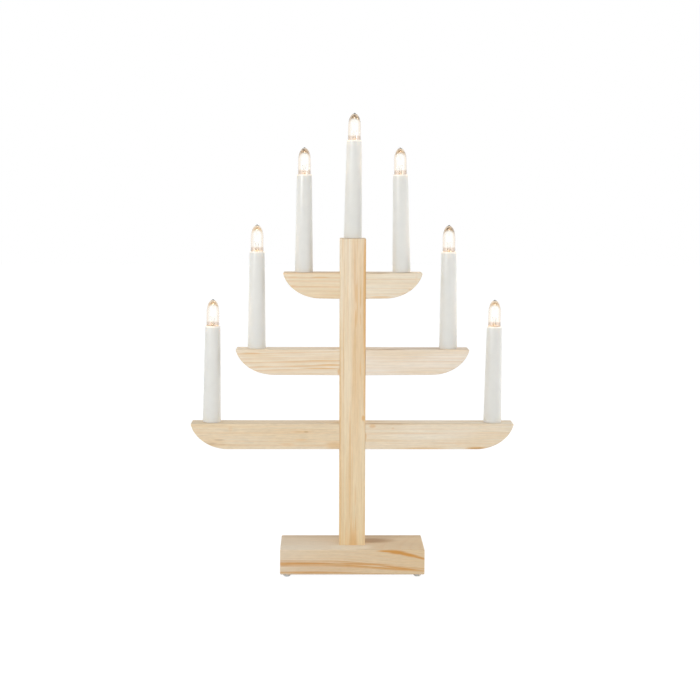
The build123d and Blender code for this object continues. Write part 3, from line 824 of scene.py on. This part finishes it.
def upright_place(tree):
    """Place in a piece as it stood before it was copied, in millimetres."""
    return add(tree, "ShaderNodeAttribute", attribute_name="upright_mm").outputs["Vector"]


# %% [markdown]
# ## Candle tube
# The tubes are moulded in white plastic with a satin gloss, and a little milky, so that light runs about in
# them. Near the lamp that light comes out again as a warm rim. Real light through a thin wall would be slow
# and grainy to render, so the plastic gives off a little light of its own there.

# %% Sizes of the candle, in millimetres over its foot
tube_height = 101.0
tube_foot_radius = 9.4
tube_top_radius = 7.85
tube_wall = 0.9
tube_floor = 1.6
spigot_radius = 4.8
spigot_bore_radius = 3.8
spigot_length = 9.0
foot_drop = 0.01
edge_radius = 0.3

# %% Satin white plastic that the lamp shines into
rim_glow_height = 2.6
rim_glow_strength = 0.3
candle_plastic = moulded("satin_white_plastic", "#e5e3dc", 0.32, 9.0, milky=0.25)
tree = candle_plastic.node_tree
height = parts_of(tree, upright_place(tree))[2]
lit = fit(tree, height, (tube_height - rim_glow_height, tube_height), (0.0, rim_glow_strength), soft=True)
shader = next(node for node in tree.nodes if node.type == "BSDF_PRINCIPLED")
shader.inputs["Emission Color"].default_value = colour("#ffe6cc")
tree.links.new(lit, shader.inputs["Emission Strength"])
print("the rim glows over", rim_glow_height, "mm")

# %% Candle tube
tube = turned("candle_tube", [
    (spigot_bore_radius, -spigot_length), (spigot_radius, -spigot_length), (spigot_radius, -foot_drop),
    (tube_foot_radius, 0), (tube_top_radius, tube_height), (tube_top_radius - tube_wall, tube_height),
    (tube_foot_radius - tube_wall, tube_floor), (spigot_bore_radius, tube_floor)], segments=96)
use_modifier(tube, "BEVEL", width=edge_radius * MM, segments=3, limit_method="ANGLE",
             angle_limit=math.radians(40))
smooth(tube)
tube.data.materials.append(candle_plastic)
print("candle tube", len(tube.data.polygons), "faces")
seven_copies(tube, "candle_tube", "")

# %% [markdown]
# ## Lamp glass
# The envelope is blown clear glass, and its dome ends in the small nub where it was sealed off. The glass
# is thicker there than in the wall. The edges look faintly cream, because a line of sight runs a long way
# through the wall. The tip would gather the dark and amber of what surrounds it in small patches, which
# differ from lamp to lamp; they are a painted reflection in the tip's tint. A wall of one clear colour would
# miss all that, so its tint follows the height and the viewing angle.

# %% Sizes of the lamp glass, in millimetres; heights are above the tube's rim, and drops below it
glass_radius = 6.7
glass_neck_radius = 4.15
glass_neck_drop = 7.3
glass_shoulder = 13.5
glass_height = 27.6
glass_wall = 0.55
glass_tip = 2.4
flare_low_drop, flare_high_drop = 5.2, 2.0
flare_steps = 8
nub_radius, nub_height, nub_round = 0.9, 0.5, 0.1
outer_steps, inner_steps = 21, 17

# %% Where the glass is tinted
# Each pair says between which heights, or distances from the axis, a tint comes in
stem_clears = (2.6, 3.4)
dome_starts = (tube_height + 10, tube_height + 12)
foot_fades = (tube_height + 5.5, tube_height + 3.0)
tip_fades = (tube_height + 20.5, tube_height + 25.5)
tip_edge_gain = 7.0
rim_comes_in = (0.15, 0.5)
foot_tint_share = 0.9
tip_reflection_scale = (620, 620, 400)
# The tip's painted reflection turns from grey to amber at a sharp line, at 0.4
tip_reflection_stops = ((0.3, "#75675a"), (0.399, "#a5998b"), (0.4, "#b0967a"), (0.48, "#d9bd9c"), (0.56, "#eedabf"))
# What is added to a lamp's painted reflection: the higher, the less dark shows in its tip
tip_clearness = {
    "lower_left": 0.12, "middle_left": 0.24, "top_left": -0.01, "centre": -0.02, "top_right": 0.05,
    "middle_right": -0.01, "lower_right": 0.12}

# %% Blown clear glass
glass, tree, output = new_material("blown_clear_glass")
own = upright_place(tree)
height = parts_of(tree, own)[2]
# Only the wall is tinted, and not the stem inside it
aside = vector_calc(tree, "LENGTH", vector_calc(tree, "MULTIPLY", own, (1, 1, 0)))
wall = calc(tree, "MAXIMUM", fit(tree, aside, stem_clears), fit(tree, height, dome_starts))
facing = add(tree, "ShaderNodeLayerWeight", {"Blend": 0.5}).outputs["Facing"]
rim = fit(tree, facing, rim_comes_in)
tint = blend(tree, rim, "#fffefb", "#f8ecdf")
place = add(tree, "ShaderNodeTexCoord")
# Patches of painted reflection in the tip, grey and amber as the tip would bend them in from around it
blotch = add(tree, "ShaderNodeMapping", {"Vector": place.outputs["Object"], "Scale": tip_reflection_scale})
blotch = add(tree, "ShaderNodeTexNoise", {"Vector": blotch.outputs[0], "Scale": 1.0, "Detail": 1.0})
clearer = add(tree, "ShaderNodeAttribute", attribute_name="own_shade")
amber = ramp(tree, calc(tree, "ADD", blotch.outputs["Fac"], clearer.outputs["Fac"]), tip_reflection_stops)
# The painted reflection in the tip reaches further down at the edges
edge_reach = calc(tree, "MULTIPLY_ADD", facing, tip_edge_gain, height)
tint = blend(tree, fit(tree, edge_reach, tip_fades, soft=True), tint, amber)
foot = fit(tree, height, foot_fades, (0.0, foot_tint_share), soft=True)
tint = blend(tree, foot, tint, blend(tree, rim, "#f5eae0", "#d6cac0"))
tint = blend(tree, wall, "#fffdf9", tint)
bent_light = add(tree, "ShaderNodeBsdfPrincipled", {
    "Base Color": tint, "Roughness": 0.0, "IOR": 1.5, "Transmission Weight": 1.0})
path = add(tree, "ShaderNodeLightPath")
through = add(tree, "ShaderNodeBsdfTransparent", {"Color": colour("#f4f2ee")})
lets_light = add(tree, "ShaderNodeMixShader", {
    0: path.outputs["Is Shadow Ray"], 1: bent_light.outputs[0], 2: through.outputs[0]})
tree.links.new(lets_light.outputs[0], output.inputs["Surface"])
print("glass of", len(tree.nodes), "nodes")

# %% Envelope
def dome(radius, low, high, steps):
    """Points of a dome that is half an ellipse, from its shoulder to its top."""
    turns = [math.pi / 2 * step / (steps - 1) for step in range(steps - 1)]
    return [(radius * math.cos(turn), low + (high - low) * math.sin(turn)) for turn in turns] + [(0.0, high)]


bottom = tube_height - glass_neck_drop
shoulder = tube_height + glass_shoulder
top = tube_height + glass_height
flare_low, flare_high = tube_height - flare_low_drop, tube_height - flare_high_drop
flare = []
for step in range(flare_steps + 1):
    share = step / flare_steps
    ease = share * share * (3 - 2 * share)
    flare.append((glass_neck_radius + ease * (glass_radius - glass_neck_radius),
                  flare_low + share * (flare_high - flare_low)))
neck_opening = glass_neck_radius * 0.5
outer = [(neck_opening, bottom), (glass_neck_radius, bottom)] + flare
# The last points before the dome's top make way for the nub
outer += dome(glass_radius, shoulder, top - nub_height, outer_steps)[:-2]
outer += [(nub_radius, top - nub_height), (nub_radius / 2, top - nub_round), (0.0, top)]
inner = [(neck_opening, bottom + glass_wall), (glass_neck_radius - glass_wall, bottom + glass_wall)]
inner += [(radius - glass_wall, height) for radius, height in flare]
inner += dome(glass_radius - glass_wall, shoulder, top - glass_tip, inner_steps)
envelope = turned("lamp_glass", outer, segments=64, closed=False)
lining = turned("lining", inner, segments=64, closed=False)
# The lining's faces point to the hollow, away from the glass
select_only(lining)
bpy.ops.object.mode_set(mode="EDIT")
bpy.ops.mesh.select_all(action="SELECT")
bpy.ops.mesh.flip_normals()
bpy.ops.object.mode_set(mode="OBJECT")
print("envelope", len(outer), "points outside and", len(inner), "inside")

# %% Stem pressed flat round the wires
# Its top is squeezed while soft: wider along the coil, and narrower across it
stem_radius = 1.7
stem_top = tube_height + 3.5
pressed_height = 1.5
pressed = (1.15, 0.6, 1)
stem = turned("stem", [
    (stem_radius * 1.1, bottom + glass_wall + 0.02), (stem_radius * 1.05, bottom + 2.5),
    (stem_radius * 0.95, stem_top - 3.0), (stem_radius, stem_top - 1.2), (stem_radius * 0.9, stem_top)],
    segments=32, closed=False)
bpy.ops.object.mode_set(mode="EDIT")
bpy.ops.mesh.select_all(action="DESELECT")
bpy.ops.object.mode_set(mode="OBJECT")
for vertex in stem.data.vertices:
    vertex.select = vertex.co.z > (stem_top - pressed_height) * MM
bpy.ops.object.mode_set(mode="EDIT")
bpy.ops.transform.resize(value=pressed, center_override=(0, 0, stem_top * MM))
bpy.ops.object.mode_set(mode="OBJECT")
select_only(stem, lining, envelope)
bpy.ops.object.join()
smooth(envelope, degrees=50)
envelope.data.materials.append(glass)
print("lamp glass", len(envelope.data.polygons), "faces")
seven_copies(envelope, "lamp_glass", "lamp", own_shades=tip_clearness)

# %% [markdown]
# ## Filament
# A fine tungsten coil hangs between two nickel wires that rise from the stem. The coil is a small circle
# that the Screw modifier carries round and along an axis, as a lathe cuts a spring. Its wire is drawn
# thicker than the real one, which is thinner than a hair.

# %% Incandescent tungsten
# A lit coil is nearly white in its middle, and more orange at its ends, where the wires cool it
coil_span, coil_radius, coil_turns, coil_wire = 4.6, 0.32, 13, 0.08
coil_height = tube_height + 12.3
coil_end_heat = 0.4
coil_brightness = 3.0
glow, tree, output = new_material("incandescent_tungsten")
from_middle = calc(tree, "ABSOLUTE", parts_of(tree, upright_place(tree))[0])
heat = fit(tree, from_middle, (coil_span / 2, coil_span / 3), (coil_end_heat, 1.0))
shader = add(tree, "ShaderNodeBsdfPrincipled", {
    "Base Color": colour("#8a8781"), "Metallic": 1.0, "Roughness": 0.4,
    "Emission Color": blend(tree, heat, "#ffc890", "#fff2df"), "Emission Strength": coil_brightness})
tree.links.new(shader.outputs[0], output.inputs["Surface"])
print("coil", coil_span, "mm long, pitch", round(coil_span / coil_turns, 2), "mm")

# %% Coil
bpy.ops.object.select_all(action="DESELECT")
bpy.ops.mesh.primitive_circle_add(
    vertices=6, radius=coil_wire * MM, location=(-coil_span / 2 * MM, coil_radius * MM, 0))
coil = bpy.context.object
coil.name = "filament"
bpy.ops.object.transform_apply(location=True, rotation=True, scale=True)
use_modifier(coil, "SCREW", axis="X", angle=math.tau, screw_offset=coil_span / coil_turns * MM,
             iterations=coil_turns, steps=10, render_steps=10)
close_and_turn_out(coil)
coil.data.transform(Matrix.Translation((0, 0, coil_height * MM)))
coil.data.materials.append(glow)
print("coil", len(coil.data.polygons), "faces")

# %% Two bent wires
wire_radius = 0.17
wire_spread = 2.5


def bent_wire(name, points, radius):
    """Round wire along points in millimetres, as a mesh."""
    curve = bpy.data.curves.new(name, "CURVE")
    curve.dimensions = "3D"
    curve.bevel_depth = radius * MM
    curve.bevel_resolution = 2
    curve.use_fill_caps = True
    spline = curve.splines.new("NURBS")
    spline.points.add(len(points) - 1)
    for point, place in zip(spline.points, points):
        point.co = (*(v * MM for v in place), 1)
    spline.order_u = 3
    spline.use_endpoint_u = True
    line = bpy.data.objects.new(name, curve)
    bpy.context.scene.collection.objects.link(line)
    select_only(line)
    bpy.ops.object.convert(target="MESH")
    return bpy.context.object


# Each wire leaves the stem, leans outwards, stands upright and bends in to the coil's end
wires = []
for side in (-1, 1):
    wire = bent_wire("support", [
        (side * 0.9, 0, stem_top - 2.0), (side * 0.95, 0, stem_top + 0.6), (side * 1.6, 0, stem_top + 3.6),
        (side * wire_spread, 0, coil_height - 1.6), (side * wire_spread, 0, coil_height - 0.2),
        (side * (wire_spread - 0.5), 0, coil_height + 0.25)], wire_radius)
    wire.data.materials.append(nickel)
    wires.append(wire)
select_only(*wires, coil)
bpy.ops.object.join()
smooth(coil, degrees=60)
print("filament", len(coil.data.polygons), "faces")
seven_copies(coil, "filament", "lamp")

# %% [markdown]
# ## The lamps' own light
# The lamps are lit in the picture, and warm the rims of their tubes. A point lamp at each filament does
# that. The glass lets its light through as if it were not there, which saves the renderer from tracing each
# bent ray.

# %% Seven small lights
lamp_power = 0.012
lamp_light_radius = 2.0
for name, place in places.items():
    data = bpy.data.lights.new(f"{name}_light", "POINT")
    data.energy = lamp_power
    data.color = colour("#ffe8d0")[:3]
    data.shadow_soft_size = lamp_light_radius * MM
    light = bpy.data.objects.new(f"{name}_light", data)
    light.location = place @ Vector((0, 0, coil_height * MM))
    bpy.context.scene.collection.objects.link(light)
print(len(places), "lights of", lamp_power, "W")

# %% The json module
import json
